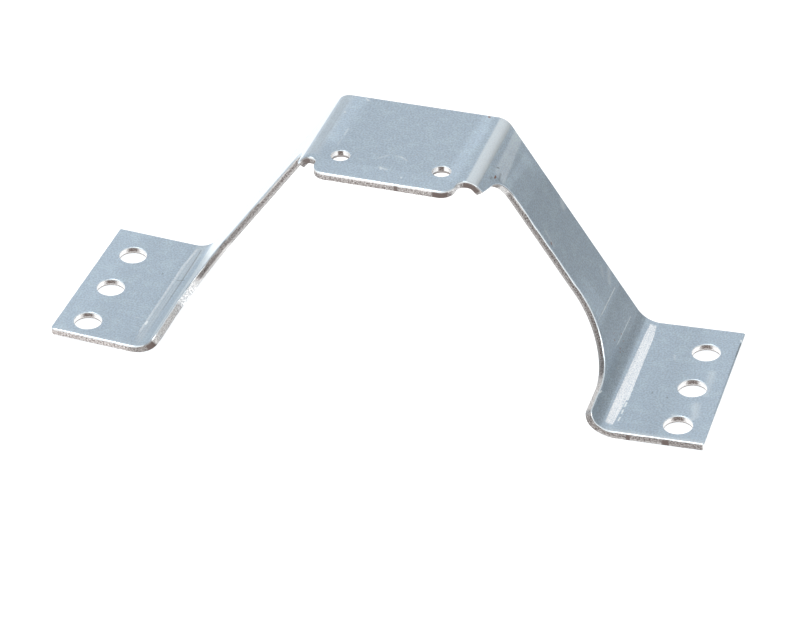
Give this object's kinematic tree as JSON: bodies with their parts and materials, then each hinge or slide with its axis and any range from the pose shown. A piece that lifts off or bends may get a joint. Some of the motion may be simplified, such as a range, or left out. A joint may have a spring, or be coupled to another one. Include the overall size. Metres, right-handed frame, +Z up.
{
  "type": "fan motor bracket",
  "caption": "Folded galvanised sheet bracket: a raised motor plate with a front tab and screw holes, on sloping arms that widen into drilled feet.",
  "frame": {"origin": "on the surface it stands on, under the middle of the feet's width and depth", "axes": "+X across the feet to the right, +Y towards the straight rear edge, +Z up through the motor plate"},
  "size_m": [0.166, 0.046, 0.0547],
  "materials": {
    "zinc": "satin galvanised sheet with a fine grain"
  },
  "bodies": {
    "root": {"bracket": "zinc"}
  },
  "joints": []
}
